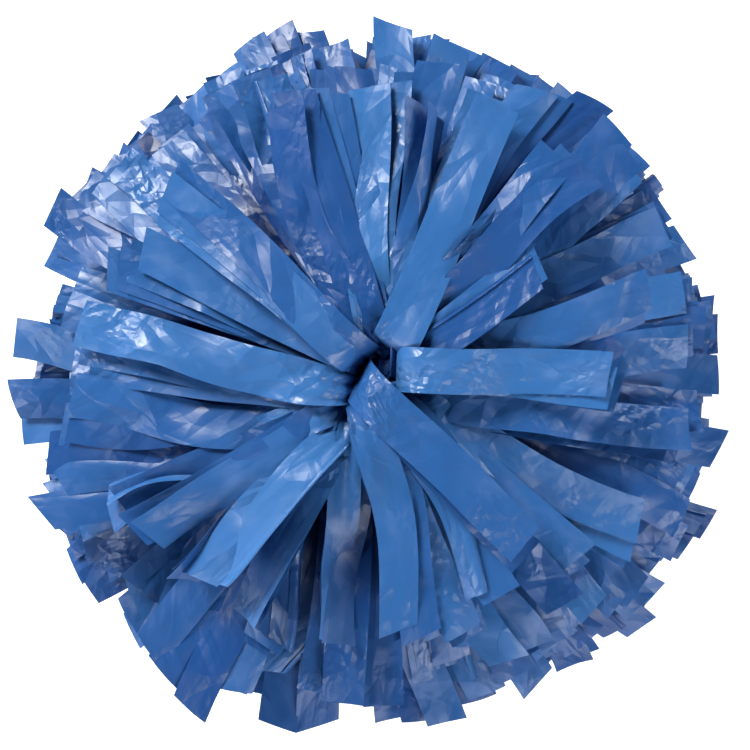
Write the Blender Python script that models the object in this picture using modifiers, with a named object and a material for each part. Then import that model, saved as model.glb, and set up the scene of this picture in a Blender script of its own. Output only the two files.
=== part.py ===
"""Cheer pom pom on a baton handle, standing on its lower streamers.

The origin is on the floor under the baton and +Z runs up along the baton. Streamers leave both
ends of the baton. They are gathered here into sheaves, eight sectors round each end and three
tiers to a sector, and each sector swings about a tangent line at the rim of its film neck.
"""
import math

import bmesh
import bpy

# Overall sizes, in metres.
POM_RADIUS = 0.168
NECK_SPAN = 0.145
LOWER_NECK_HEIGHT = 0.060
CROWN_RISE = 0.054

# Baton, grip, hand stops, film necks and ties.
CORE_RADIUS = 0.0080
CORE_WALL = 0.0020
CORE_GROOVE_DEPTH = 0.0012
CORE_GROOVE_WIDTH = 0.0070
GRIP_WALL = 0.0045
GRIP_FLAT_DEPTH = 0.0012
GRIP_END_ROUND = 0.0020
STOP_FLANGE = 0.0065
STOP_THICKNESS = 0.0040
NECK_WALL = 0.0052
NECK_LENGTH = 0.0260
NECK_CAP = 0.0080
NECK_DOME = 0.0012
TIE_WIDTH = 0.0048
TIE_THICKNESS = 0.0013
TIE_HEAD_LENGTH = 0.0075
TIE_HEAD_HEIGHT = 0.0048

# Streamer sheaves.
SECTORS = 8
SWING_IN = math.radians(6.0)
SWING_OUT = math.radians(8.0)
SHEAF_THICKNESS = 0.0090
FLOOR_SHEAF_THICKNESS = 0.0080
ROOT_THICKNESS = 0.0020
ROOT_PITCH = 0.0028
ROOT_LIFT = 0.0014
ROOT_FILL = 0.35
SIDE_GAP = 0.0006
NARROWEST_SHARE = 0.2
SHEAF_STATIONS = 10
SHEAF_WIDTH_POINTS = 4

# Fits and mesh fineness.
FIT_GAP = 0.0003
ROUND_STEPS = 28
MERGE_DISTANCE = 0.00001

HALF_SECTOR = math.pi / SECTORS
GRIP_RADIUS = CORE_RADIUS + FIT_GAP + GRIP_WALL
NECK_RADIUS = CORE_RADIUS + FIT_GAP + NECK_WALL
STOP_RADIUS = GRIP_RADIUS + STOP_FLANGE
UPPER_NECK_TOP = LOWER_NECK_HEIGHT + NECK_SPAN
MIDDLE = LOWER_NECK_HEIGHT + NECK_SPAN / 2
STOP_OUTER = NECK_SPAN / 2 - NECK_LENGTH - FIT_GAP
STOP_INNER = STOP_OUTER - STOP_THICKNESS
GRIP_HALF = STOP_INNER - FIT_GAP
CORE_HALF = NECK_SPAN / 2 - NECK_CAP - FIT_GAP
TIE_CENTRE = CORE_HALF - CORE_GROOVE_WIDTH
WAIST_RADIUS = NECK_RADIUS - CORE_GROOVE_DEPTH
PIVOT_RADIUS = NECK_RADIUS - ROOT_PITCH - ROOT_THICKNESS / 2

# Each tier's centre line in a radial plane, as four Bezier points. Radii are shares of the pom's
# radius. Heights, measured away from the neck towards its pole, are shares of the room there.
UPPER_PATHS = {
    "crown": (None, (0.06, 1.00), (0.36, 1.42), (0.70, 0.95)),
    "shoulder": (None, (0.12, 0.70), (0.50, 1.00), (0.88, 0.38)),
    "skirt": (None, (0.27, 0.45), (0.68, 0.05), (1.00, -0.62)),
}
LOWER_PATHS = {
    "floor": (None, (0.06, 0.75), (0.20, 1.30), (0.80, 1.05)),
    "shoulder": (None, (0.12, 0.62), (0.50, 0.78), (0.93, 0.42)),
    "skirt": (None, (0.24, 0.42), (0.66, 0.20), (0.99, -0.38)),
}


def clear_scene():
    """Remove every object that is already in the scene."""
    for obj in list(bpy.data.objects):
        bpy.data.objects.remove(obj, do_unlink=True)


def new_collection(name):
    """Add a collection to the scene."""
    collection = bpy.data.collections.new(name)
    bpy.context.scene.collection.children.link(collection)
    return collection


def make_material(name, colour, roughness):
    """Make a Principled material with one colour."""
    material = bpy.data.materials.new(name)
    material.use_nodes = True
    shader = material.node_tree.nodes["Principled BSDF"]
    shader.inputs["Base Color"].default_value = (*colour, 1.0)
    shader.inputs["Roughness"].default_value = roughness
    material.diffuse_color = (*colour, 1.0)
    return material


def film_material():
    """Glossy mid-blue plastic film."""
    return make_material("blue_film", (0.075, 0.190, 0.480), 0.33)


def grip_material():
    """Dull dark moulded plastic."""
    return make_material("grip_plastic", (0.030, 0.032, 0.036), 0.55)


def stop_material():
    """White moulded plastic."""
    return make_material("stop_plastic", (0.700, 0.700, 0.690), 0.40)


def core_material():
    """White extruded plastic tube."""
    return make_material("core_plastic", (0.620, 0.620, 0.600), 0.45)


def tie_material():
    """Translucent-looking nylon."""
    return make_material("tie_nylon", (0.560, 0.560, 0.530), 0.42)


def place(mesh, name, collection, material, location=(0.0, 0.0, 0.0), parent=None, turn_x=0.0):
    """Put a mesh in the scene as one named sub-part."""
    if not mesh.materials:
        mesh.materials.append(material)
    obj = bpy.data.objects.new(name, mesh)
    obj.location = location
    obj.rotation_euler = (turn_x, 0.0, 0.0)
    obj.parent = parent
    collection.objects.link(obj)
    return obj


def turned_mesh(name, profile):
    """Turn a closed or axis-to-axis outline of (radius, height) points about Z."""
    outline = bpy.data.meshes.new(name)
    points = [(radius, 0.0, height) for radius, height in profile]
    last = len(points) - 1
    edges = [(i, i + 1) for i in range(last)]
    if profile[0][0] > 0.0:
        edges.append((last, 0))
    outline.from_pydata(points, edges, [])
    holder = bpy.data.objects.new(name + "_outline", outline)
    bpy.context.scene.collection.objects.link(holder)
    screw = holder.modifiers.new("turn", "SCREW")
    screw.axis = "Z"
    screw.steps = ROUND_STEPS
    screw.render_steps = ROUND_STEPS
    screw.use_merge_vertices = True
    screw.merge_threshold = MERGE_DISTANCE
    mesh = solid_from(holder, name)
    bpy.data.meshes.remove(outline)
    for polygon in mesh.polygons:
        polygon.use_smooth = True
    return mesh


def solid_from(holder, name):
    """Take an object's finished shape as a mesh with outward faces and remove the object."""
    graph = bpy.context.evaluated_depsgraph_get()
    mesh = bpy.data.meshes.new_from_object(holder.evaluated_get(graph))
    mesh.name = name
    bm = bmesh.new()
    bm.from_mesh(mesh)
    bmesh.ops.remove_doubles(bm, verts=bm.verts, dist=MERGE_DISTANCE)
    bmesh.ops.recalc_face_normals(bm, faces=bm.faces)
    bm.to_mesh(mesh)
    bm.free()
    bpy.data.objects.remove(holder, do_unlink=True)
    return mesh


def box_cutter(name, size, centre, collection):
    """Make a box that only cuts other pieces."""
    mesh = bpy.data.meshes.new(name)
    bm = bmesh.new()
    bmesh.ops.create_cube(bm, size=1.0)
    bmesh.ops.scale(bm, vec=size, verts=bm.verts)
    bmesh.ops.translate(bm, vec=centre, verts=bm.verts)
    bm.to_mesh(mesh)
    bm.free()
    cutter = bpy.data.objects.new(name, mesh)
    cutter.hide_render = True
    cutter.display_type = "WIRE"
    collection.objects.link(cutter)
    return cutter


def join_shapes(obj, other, operation):
    """Cut the other shape from the object, or add it."""
    modifier = obj.modifiers.new(operation.lower(), "BOOLEAN")
    modifier.object = other
    modifier.operation = operation
    modifier.solver = "EXACT"


def build_core(collection, material):
    """Plastic tube right through the handle, with a groove near each end for the film."""
    groove = CORE_RADIUS - CORE_GROOVE_DEPTH
    half_groove = CORE_GROOVE_WIDTH / 2
    bore = CORE_RADIUS - CORE_WALL
    outer_half = [
        (CORE_RADIUS, CORE_HALF),
        (CORE_RADIUS, TIE_CENTRE + half_groove),
        (groove, TIE_CENTRE + half_groove - CORE_GROOVE_DEPTH),
        (groove, TIE_CENTRE - half_groove + CORE_GROOVE_DEPTH),
        (CORE_RADIUS, TIE_CENTRE - half_groove),
    ]
    mirrored = [(radius, -height) for radius, height in reversed(outer_half)]
    inner = [(bore, -CORE_HALF), (bore, CORE_HALF)]
    mesh = turned_mesh("baton_core", outer_half + mirrored + inner)
    place(mesh, "baton_core", collection, material, (0.0, 0.0, MIDDLE))


def build_grip(collection, cutters, material):
    """Moulded sleeve with rounded ends and a flat on two opposite sides."""
    inner = CORE_RADIUS + FIT_GAP
    edge = GRIP_RADIUS - GRIP_END_ROUND
    profile = [
        (edge, GRIP_HALF),
        (GRIP_RADIUS, GRIP_HALF - GRIP_END_ROUND),
        (GRIP_RADIUS, GRIP_END_ROUND - GRIP_HALF),
        (edge, -GRIP_HALF),
        (inner, -GRIP_HALF),
        (inner, GRIP_HALF),
    ]
    mesh = turned_mesh("grip_sleeve", profile)
    grip = place(mesh, "grip_sleeve", collection, material, (0.0, 0.0, MIDDLE))
    depth = 2 * GRIP_FLAT_DEPTH
    size = (depth, 2 * GRIP_RADIUS, 2 * (GRIP_HALF - 2 * GRIP_END_ROUND))
    for side in (1, -1):
        name = "grip_flat_cutter_" + ("east" if side > 0 else "west")
        cutter = box_cutter(name, size, (side * GRIP_RADIUS, 0.0, MIDDLE), cutters)
        join_shapes(grip, cutter, "DIFFERENCE")


def hand_stop_mesh():
    """Rounded disc that keeps the hand off the film."""
    inner = CORE_RADIUS + FIT_GAP
    round_off = STOP_THICKNESS / 3
    half = STOP_THICKNESS / 2
    profile = [
        (STOP_RADIUS - round_off, half),
        (STOP_RADIUS, half - round_off),
        (STOP_RADIUS, round_off - half),
        (STOP_RADIUS - round_off, -half),
        (inner, -half),
        (inner, half),
    ]
    return turned_mesh("hand_stop", profile)


def film_neck_mesh():
    """Uncut spines of the film, gathered over the end of the baton and drawn in by the tie.

    Its own zero height is the middle of the baton and its outer end is upwards.
    """
    end = NECK_SPAN / 2
    start = end - NECK_LENGTH
    inner = CORE_RADIUS + FIT_GAP
    waist_in = inner - CORE_GROOVE_DEPTH
    half_groove = CORE_GROOVE_WIDTH / 2
    slope = CORE_GROOVE_DEPTH
    profile = [
        (0.0, end),
        (NECK_RADIUS - NECK_DOME, end),
        (NECK_RADIUS, end - NECK_DOME),
        (NECK_RADIUS, TIE_CENTRE + half_groove),
        (WAIST_RADIUS, TIE_CENTRE + half_groove - slope),
        (WAIST_RADIUS, TIE_CENTRE - half_groove + slope),
        (NECK_RADIUS, TIE_CENTRE - half_groove),
        (NECK_RADIUS, start),
        (inner, start),
        (inner, TIE_CENTRE - half_groove - FIT_GAP),
        (waist_in, TIE_CENTRE - half_groove + slope - FIT_GAP),
        (waist_in, TIE_CENTRE + half_groove - slope + FIT_GAP),
        (inner, TIE_CENTRE + half_groove + FIT_GAP),
        (inner, CORE_HALF + FIT_GAP),
        (0.0, CORE_HALF + FIT_GAP),
    ]
    return turned_mesh("film_neck", profile)


def tie_band_mesh():
    """Flat strap of the cable tie, lying in the waist of the film neck."""
    inner = WAIST_RADIUS + FIT_GAP
    outer = inner + TIE_THICKNESS
    half = (TIE_WIDTH - 2 * FIT_GAP) / 2
    return turned_mesh("tie_band", [(outer, half), (outer, -half), (inner, -half), (inner, half)])


def build_tie(name, height, side, collection, cutters, material):
    """Cable tie: strap and locking head in one piece."""
    head_inner = NECK_RADIUS + FIT_GAP
    tie = place(tie_band_mesh(), name, collection, material, (0.0, 0.0, height))
    strap_outer = WAIST_RADIUS + FIT_GAP + TIE_THICKNESS
    overlap = TIE_THICKNESS / 2
    root = min(head_inner, strap_outer - overlap)
    size = (TIE_HEAD_HEIGHT, TIE_HEAD_LENGTH, TIE_WIDTH - 2 * FIT_GAP)
    centre = (side * (root + TIE_HEAD_HEIGHT / 2), 0.0, height)
    head = box_cutter(name + "_head_shape", size, centre, cutters)
    join_shapes(tie, head, "UNION")


def bezier(points, share):
    """Point at a share of the way along a cubic Bezier curve in the plane."""
    rest = 1.0 - share
    weights = (rest**3, 3 * rest**2 * share, 3 * rest * share**2, share**3)
    return tuple(sum(w * p[axis] for w, p in zip(weights, points)) for axis in (0, 1))


def sheaf_line(path, tier_index, room):
    """Centre line of a sheaf: (radius, height towards the pole) from root to tip."""
    root = (PIVOT_RADIUS + (tier_index - 1) * ROOT_PITCH, ROOT_LIFT)
    controls = [root] + [(share * POM_RADIUS, rise * room) for share, rise in path[1:]]
    stations = [i / (SHEAF_STATIONS - 1) for i in range(SHEAF_STATIONS)]
    return [bezier(controls, share) for share in stations]


def inward_swing(radius, height):
    """How far a point can come towards the baton anywhere in its sector's swing."""
    out = radius - PIVOT_RADIUS
    up = height - ROOT_LIFT
    places = [out * math.cos(a) + up * math.sin(a) for a in (-SWING_IN, 0.0, SWING_OUT)]
    return out - min(places)


def half_angle(radius, height):
    """Half the angle a sheaf may span so that it keeps inside its own sector in every pose."""
    margin = SIDE_GAP + inward_swing(radius, height) * math.sin(HALF_SECTOR)
    most = math.sin(HALF_SECTOR * (1.0 - NARROWEST_SHARE))
    return HALF_SECTOR - math.asin(min(margin / radius, most))


def sheaf_mesh(name, line, thickness, pole, floor):
    """Loft a sheaf of streamers from its narrow root to its wide tip.

    The mesh is in the pivot's frame: +X away from the baton, +Z up. Pole is 1 for the upper
    half and -1 for the lower. Floor is how far the floor is below the neck, or None.
    """
    bm = bmesh.new()
    rings = []
    last = len(line) - 1
    for i, (radius, height) in enumerate(line):
        before, after = line[max(i - 1, 0)], line[min(i + 1, last)]
        run, rise = after[0] - before[0], after[1] - before[1]
        length = math.hypot(run, rise)
        fill = min(1.0, i / last / ROOT_FILL)
        half = (ROOT_THICKNESS + (thickness - ROOT_THICKNESS) * fill) / 2
        over = (radius - half * rise / length, height + half * run / length)
        under = (radius + half * rise / length, height - half * run / length)
        if i == 0:
            over, under = (radius - half, height), (radius + half, height)
        if floor is not None:
            over = (over[0], min(over[1], floor))
        ring = []
        for (r, h), order in ((over, 1), (under, -1)):
            span = half_angle(r, h)
            for k in range(SHEAF_WIDTH_POINTS):
                across = order * (2 * k / (SHEAF_WIDTH_POINTS - 1) - 1)
                x = r * math.cos(across * span) - PIVOT_RADIUS
                y = r * math.sin(across * span)
                ring.append(bm.verts.new((x, y, pole * (h - ROOT_LIFT))))
        rings.append(ring)
    size = len(rings[0])
    for first, second in zip(rings, rings[1:]):
        for k in range(size):
            j = (k + 1) % size
            bm.faces.new((first[k], first[j], second[j], second[k]))
    bm.faces.new(rings[0])
    bm.faces.new(rings[-1])
    bmesh.ops.recalc_face_normals(bm, faces=bm.faces)
    mesh = bpy.data.meshes.new(name)
    bm.to_mesh(mesh)
    bm.free()
    return mesh


def floor_line(line, thickness, floor):
    """Keep a centre line half a sheaf above the floor."""
    return [(radius, min(height, floor - thickness / 2)) for radius, height in line]


def tier_meshes(half):
    """One mesh for each tier of the upper or lower half."""
    if half == "upper":
        return {
            tier: sheaf_mesh(
                f"upper_{tier}", sheaf_line(path, i, CROWN_RISE), SHEAF_THICKNESS, 1, None
            )
            for i, (tier, path) in enumerate(UPPER_PATHS.items())
        }
    meshes = {}
    for i, (tier, path) in enumerate(LOWER_PATHS.items()):
        line = sheaf_line(path, i, LOWER_NECK_HEIGHT)
        thickness = SHEAF_THICKNESS
        floor = None
        if tier == "floor":
            thickness = FLOOR_SHEAF_THICKNESS
            floor = LOWER_NECK_HEIGHT
            line = floor_line(line, thickness, floor)
        meshes[tier] = sheaf_mesh(f"lower_{tier}", line, thickness, -1, floor)
    return meshes


def sector_pivot(half, index, collection):
    """Empty on a sector's hinge line, turned so that its X axis points away from the baton."""
    angle = 2 * HALF_SECTOR * index
    height = UPPER_NECK_TOP + ROOT_LIFT if half == "upper" else LOWER_NECK_HEIGHT - ROOT_LIFT
    pivot = bpy.data.objects.new(f"{half}_sector_{index + 1}_pivot", None)
    pivot.empty_display_size = PIVOT_RADIUS
    pivot.location = (PIVOT_RADIUS * math.cos(angle), PIVOT_RADIUS * math.sin(angle), height)
    pivot.rotation_euler = (0.0, 0.0, angle)
    collection.objects.link(pivot)
    return pivot


def build_streamers(half, collection, material):
    """Three tiers of sheaves in each sector of one half."""
    meshes = tier_meshes(half)
    for index in range(SECTORS):
        pivot = sector_pivot(half, index, collection)
        for tier, mesh in meshes.items():
            name = f"{half}_{tier}_tuft_{index + 1}"
            place(mesh, name, collection, material, parent=pivot)


def build_ends(collection, cutters, film):
    """Hand stop, film neck and cable tie at each end of the baton."""
    stop, neck = hand_stop_mesh(), film_neck_mesh()
    white, nylon = stop_material(), tie_material()
    stop_height = (STOP_INNER + STOP_OUTER) / 2
    for half, pole in (("upper", 1), ("lower", -1)):
        turn = 0.0 if pole > 0 else math.pi
        at = (0.0, 0.0, MIDDLE + pole * stop_height)
        place(stop, f"{half}_hand_stop", collection, white, at)
        place(neck, f"{half}_film_neck", collection, film, (0.0, 0.0, MIDDLE), turn_x=turn)
        tie_height = MIDDLE + pole * TIE_CENTRE
        build_tie(f"{half}_cable_tie", tie_height, pole, collection, cutters, nylon)


def build():
    """Build the whole pom pom."""
    clear_scene()
    parts = new_collection("cheer_pom_pom")
    cutters = new_collection("cutters")
    film = film_material()
    build_core(parts, core_material())
    build_grip(parts, cutters, grip_material())
    build_ends(parts, cutters, film)
    for half in ("upper", "lower"):
        build_streamers(half, parts, film)


build()
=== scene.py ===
"""Cheer pom pom: film streamers, gathered necks and the baton handle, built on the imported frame."""

import math

import bpy
import numpy as np
from bpy.props import FloatProperty, FloatVectorProperty, IntProperty, PointerProperty
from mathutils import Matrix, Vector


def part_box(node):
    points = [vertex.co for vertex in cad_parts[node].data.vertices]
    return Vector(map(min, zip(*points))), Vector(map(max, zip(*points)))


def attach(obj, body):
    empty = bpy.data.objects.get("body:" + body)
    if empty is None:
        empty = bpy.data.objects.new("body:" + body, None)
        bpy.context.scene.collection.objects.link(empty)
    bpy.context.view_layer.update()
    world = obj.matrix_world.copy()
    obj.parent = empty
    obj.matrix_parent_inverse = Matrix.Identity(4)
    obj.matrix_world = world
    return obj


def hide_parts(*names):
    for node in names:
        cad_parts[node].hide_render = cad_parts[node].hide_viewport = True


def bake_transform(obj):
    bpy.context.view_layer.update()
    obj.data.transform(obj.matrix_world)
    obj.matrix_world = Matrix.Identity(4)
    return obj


bl_info = {
    "name": "Cheer Pom Pom",
    "version": (1, 0, 0),
    "blender": (4, 5, 0),
    "location": "View3D > Sidebar > Pom Pom",
    "description": "Film streamers, gathered necks and handle finish of a cheer pom pom",
    "category": "Object",
}

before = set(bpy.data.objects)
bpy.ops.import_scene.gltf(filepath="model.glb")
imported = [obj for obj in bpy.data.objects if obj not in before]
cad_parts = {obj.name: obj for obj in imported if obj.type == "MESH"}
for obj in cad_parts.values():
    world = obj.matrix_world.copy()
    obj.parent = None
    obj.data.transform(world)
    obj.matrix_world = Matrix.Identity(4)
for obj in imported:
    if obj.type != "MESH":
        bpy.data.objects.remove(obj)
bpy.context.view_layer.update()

SECTORS = 8
TIERS = {"upper": ("crown", "shoulder", "skirt"), "lower": ("floor", "shoulder", "skirt")}

# At these distances from the baton's axis build_half works out a point for each sector, but nothing uses
# them.
FLEX_START, FLEX_END = 0.003, 0.024

# The film's colour, gloss and painted light. Film deep in the gaps gets painted shade: it keeps
# these shares of the colour's red, green and blue.
FILM_THICKNESS = 0.00014
FILM_IOR = 1.44
FILM_GAIN, THROUGH_GAIN = 1.12, 1.4
PAINTED_SHADE_SHARES = (0.06, 0.24, 0.50)
# Shares of the translucent shader in open and in deep film, and the tone under which film counts as deep.
# Deep film's translucent colour is the painted shade, so its larger share deepens that shade.
OPEN_THROUGH, DEEP_THROUGH, DEEP_TONE = 0.08, 0.60, 0.3
# Colour and greatest share of the painted sheen.
PAINTED_SHEEN_COLOUR = (0.28, 0.38, 0.68)
PAINTED_SHEEN_SHARE = 0.20
FACET_BEND = 0.012

# Chance folds: how many a streamer has, how far from its line each falls away, where along the
# streamer they lie, how they slant (radians) and how steep they are.
FOLDS = 8
FOLD_REACH = 0.011
FOLD_PLACES = (0.015, 0.155)
FOLD_SLANTS = (0.25, 1.40)
FOLD_SLOPE = 0.13

# Distances along a streamer over which its creases and its waves come in.
CREASE_FADE, WAVE_FADE = 0.03, 0.05

# Painted shade darkens the film from the roots: fully up to ROOT_SHADE, then less over ROOT_SHADE_FADE.
ROOT_SHADE, ROOT_SHADE_FADE = 0.055, 0.09

# A streamer starts this far inside the end of its neck.
ROOT_DEPTH = 0.002

# Steps between clinging layers of a front streamer at its crest and at its tip, and the offsets of
# layers in front and hidden stacks.
CREST_STEP, TIP_STEP = 0.0008, 0.0012
FRONT_STACK, CLUMP_STACK = 0.0006, 0.0007
# Share of tone that each clinging layer under a front streamer loses, as painted shade.
LAYER_SHADE = 0.15
TWIST_LIMIT = 0.45

# The crumpled film in the pit.
PIT_LOOPS = 11
PIT_WIDTH = 0.0125
GOLDEN_ANGLE = 2.399

# Shares of a turn and of the height by which hidden stacks step. They fill a square evenly.
STEP_ROUND, STEP_LEVEL = 0.5698402909980532, 0.7548776662466927


# ---------------------------------------------------------------- settings


class PomPomSettings(bpy.types.PropertyGroup):
    """Sizes and colours that a user would change."""

    film_colour: FloatVectorProperty(
        name="Film colour",
        description="Colour of the plastic film",
        subtype="COLOR",
        size=3,
        min=0.0,
        max=1.0,
        default=(0.036, 0.145, 0.385),
    )
    grip_colour: FloatVectorProperty(
        name="Grip colour",
        description="Colour of the moulded grip sleeve",
        subtype="COLOR",
        size=3,
        min=0.0,
        max=1.0,
        default=(0.020, 0.022, 0.026),
    )
    streamer_width: FloatProperty(
        name="Streamer width",
        description="Width that the film is slit to",
        default=0.019,
        min=0.010,
        max=0.030,
        unit="LENGTH",
    )
    streamer_length: FloatProperty(
        name="Streamer length",
        description="Length of an average streamer from its neck",
        default=0.153,
        min=0.120,
        max=0.170,
        unit="LENGTH",
    )
    upper_clumps: IntProperty(
        name="Upper clumps",
        description="Clinging stacks of streamers in the upper half",
        default=92,
        min=20,
        max=300,
    )
    lower_clumps: IntProperty(
        name="Lower clumps",
        description="Clinging stacks of streamers in the lower half",
        default=100,
        min=20,
        max=300,
    )


def settings():
    """The scene's pom pom settings."""
    return bpy.context.scene.pom_pom


# ---------------------------------------------------------------- shader maths


class Socket:
    """Wraps a node's output, or a number, so that shader maths reads like arithmetic."""

    def __init__(self, graph, value):
        self.graph = graph
        self.value = value

    def _math(self, operation, *others):
        inputs = [self.value] + [getattr(o, "value", o) for o in others]
        node = self.graph.node("ShaderNodeMath", {"operation": operation}, dict(enumerate(inputs)))
        return Socket(self.graph, node.outputs[0])

    def __add__(self, other):
        return self._math("ADD", other)

    def __sub__(self, other):
        return self._math("SUBTRACT", other)

    def __mul__(self, other):
        return self._math("MULTIPLY", other)

    def absolute(self):
        """Distance from zero."""
        return self._math("ABSOLUTE")

    def ramp(self, low, high, to_low=0.0, to_high=1.0):
        """Smoothly from to_low at low to to_high at high."""
        values = {"Value": self.value, "From Min": low, "From Max": high}
        values.update({"To Min": to_low, "To Max": to_high})
        kind = {"interpolation_type": "SMOOTHSTEP"}
        node = self.graph.node("ShaderNodeMapRange", kind, values)
        return Socket(self.graph, node.outputs["Result"])


class Graph:
    """Builds one material's node tree."""

    def __init__(self, name):
        self.material = bpy.data.materials.new(name)
        self.material.use_nodes = True
        self.tree = self.material.node_tree
        self.tree.nodes.clear()

    def node(self, kind, options=None, inputs=None):
        """Add a node: its settings first, then its sockets' values or links."""
        node = self.tree.nodes.new(kind)
        for key, value in (options or {}).items():
            setattr(node, key, value)
        for key, value in (inputs or {}).items():
            value = getattr(value, "value", value)
            if isinstance(value, bpy.types.NodeSocket):
                self.tree.links.new(value, node.inputs[key])
            else:
                node.inputs[key].default_value = value
        return node

    def out(self, node, key=0):
        """One of a node's outputs, wrapped."""
        return Socket(self, node.outputs[key])

    def vector(self, operation, first, second):
        """Vector maths on two vectors."""
        return self.out(self.node("ShaderNodeVectorMath", {"operation": operation}, {0: first, 1: second}))

    def stretched(self, vector, scale, turn=0.0):
        """The vector turned about Z, then scaled along each axis."""
        if turn:
            inputs = {"Vector": vector, "Angle": turn}
            vector = self.out(self.node("ShaderNodeVectorRotate", {"rotation_type": "Z_AXIS"}, inputs))
        return self.vector("MULTIPLY", vector, scale)

    def attribute(self, name):
        """A point attribute's value."""
        return self.out(self.node("ShaderNodeAttribute", {"attribute_name": name}), "Fac")

    def noise(self, vector, scale, detail=2.0, roughness=0.5, distortion=0.0):
        """Fractal noise about one half."""
        inputs = {"Vector": vector, "Scale": scale, "Detail": detail, "Roughness": roughness}
        inputs["Distortion"] = distortion
        return self.out(self.node("ShaderNodeTexNoise", None, inputs), "Fac")

    def mix_colour(self, factor, first, second):
        """Mix two colours."""
        node = self.node("ShaderNodeMix", {"data_type": "RGBA"})
        for key, value in (("Factor_Float", factor), ("A_Color", first), ("B_Color", second)):
            socket = next(s for s in node.inputs if s.identifier == key)
            value = getattr(value, "value", value)
            if isinstance(value, bpy.types.NodeSocket):
                self.tree.links.new(value, socket)
            else:
                socket.default_value = value
        return Socket(self, next(s for s in node.outputs if s.identifier == "Result_Color"))

    def bump(self, height):
        """Surface normal of a height in metres."""
        inputs = {"Height": height, "Distance": 1.0, "Strength": 1.0}
        return self.out(self.node("ShaderNodeBump", None, inputs), "Normal")

    def finish(self, shader):
        """Use this shader as the material's surface."""
        self.node("ShaderNodeOutputMaterial", None, {"Surface": shader})
        return self.material


def rgba(colour, gain=1.0):
    """A colour with a gain and an opaque alpha."""
    return (*(min(1.0, channel * gain) for channel in colour), 1.0)


def film_material():
    """Glossy crinkled film, a little translucent.

    The height is a sum of three sizes of flat-sided facets, a fold that runs along the film where
    a stretched noise crosses one half, and a soft swell. `crush` says how crumpled the film is.
    The tone attribute differs at random and also carries painted shade. It runs from 0 for film deep
    in the gaps, dark and dull, to 1 for film in the open. Pale patches of painted sheen lighten film
    in the open.
    """
    graph = Graph("blue_film_finish")
    colour = settings().film_colour
    uv = graph.out(graph.node("ShaderNodeUVMap", {"uv_map": "film"}))
    tone, crush = graph.attribute("tone"), graph.attribute("crush")
    bend = graph.node("ShaderNodeTexNoise", None, {"Vector": uv, "Scale": 35.0, "Detail": 1.0})
    shift = graph.vector("SUBTRACT", bend.outputs["Color"], (0.5, 0.5, 0.5))
    bent = graph.vector("ADD", uv, graph.vector("MULTIPLY", shift, (FACET_BEND, FACET_BEND, 0.0)))

    def facets(scale, stretch, turn, slope):
        kind = {"feature": "F1", "voronoi_dimensions": "2D", "distance": "MANHATTAN"}
        inputs = {"Vector": graph.stretched(bent, stretch, turn), "Scale": scale}
        return graph.out(graph.node("ShaderNodeTexVoronoi", kind, inputs), "Distance") * (slope / scale)

    calm = graph.noise(uv, 10.0, 1.0).ramp(0.42, 0.62, 0.10, 1.0)
    patch = graph.noise(uv, 30.0, 1.0).ramp(0.46, 0.62, 0.10, 1.0)
    large = facets(32.0, (0.7, 1.3, 1.0), 0.5, 0.11)
    middle = facets(85.0, (0.7, 1.2, 1.0), -0.7, 0.12)
    small = facets(210.0, (0.8, 1.2, 1.0), 0.2, 0.17)
    ridged = graph.noise(graph.stretched(uv, (0.4, 4.5, 1.0), 0.10), 24.0, 0.0, 0.55, 0.25) - 0.5
    along = ridged.absolute() * 0.0010
    swell = graph.noise(uv, 45.0, 1.0) * 0.0012
    height = large * calm + (middle + small * patch) * crush + along + swell

    # Painted sheen: pale lavender patches standing in for reflections of the lights, only on film in the
    # open.
    painted_sheen = graph.noise(graph.stretched(uv, (1.0, 1.5, 1.0)), 30.0, 3.0, 0.6).ramp(0.50, 0.74)
    # Painted shade: a low tone mixes the colour towards a darker, more saturated copy of it.
    painted_shade = rgba([channel * share for channel, share in zip(colour, PAINTED_SHADE_SHARES)])
    base = graph.mix_colour(tone, painted_shade, rgba(colour, FILM_GAIN))
    base = graph.mix_colour(painted_sheen * tone * PAINTED_SHEEN_SHARE, base, rgba(PAINTED_SHEEN_COLOUR))
    roughness = graph.noise(uv, 50.0, 2.0).ramp(0.3, 0.7, 0.28, 0.42)
    inputs = {"Base Color": base, "Roughness": roughness, "Normal": graph.bump(height), "IOR": FILM_IOR}
    surface = graph.node("ShaderNodeBsdfPrincipled", None, inputs)
    # The translucent part gets the same painted shade, and it has a larger share in shaded film.
    through = graph.mix_colour(tone, painted_shade, rgba(colour, THROUGH_GAIN))
    glow = graph.node("ShaderNodeBsdfTranslucent", None, {"Color": through})
    share = tone.ramp(0.0, DEEP_TONE, DEEP_THROUGH, OPEN_THROUGH)
    mixed = {0: share, 1: surface.outputs[0], 2: glow.outputs[0]}
    return graph.finish(graph.node("ShaderNodeMixShader", None, mixed).outputs[0])


def plastic_material(name, colour, roughness, grain, depth):
    """Moulded plastic with a fine grain and slightly uneven colour and gloss."""
    graph = Graph(name)
    place = graph.out(graph.node("ShaderNodeTexCoord"), "Object")
    speck = graph.noise(place, grain, 3.0)
    cloud = graph.noise(place, 60.0, 3.0)
    base = graph.mix_colour(cloud.ramp(0.3, 0.7), rgba(colour, 0.86), rgba(colour, 1.12))
    rough = cloud.ramp(0.3, 0.7, roughness - 0.06, roughness + 0.08)
    normal = graph.bump(speck * depth)
    inputs = {"Base Color": base, "Roughness": rough, "Normal": normal}
    return graph.finish(graph.node("ShaderNodeBsdfPrincipled", None, inputs).outputs[0])


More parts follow.
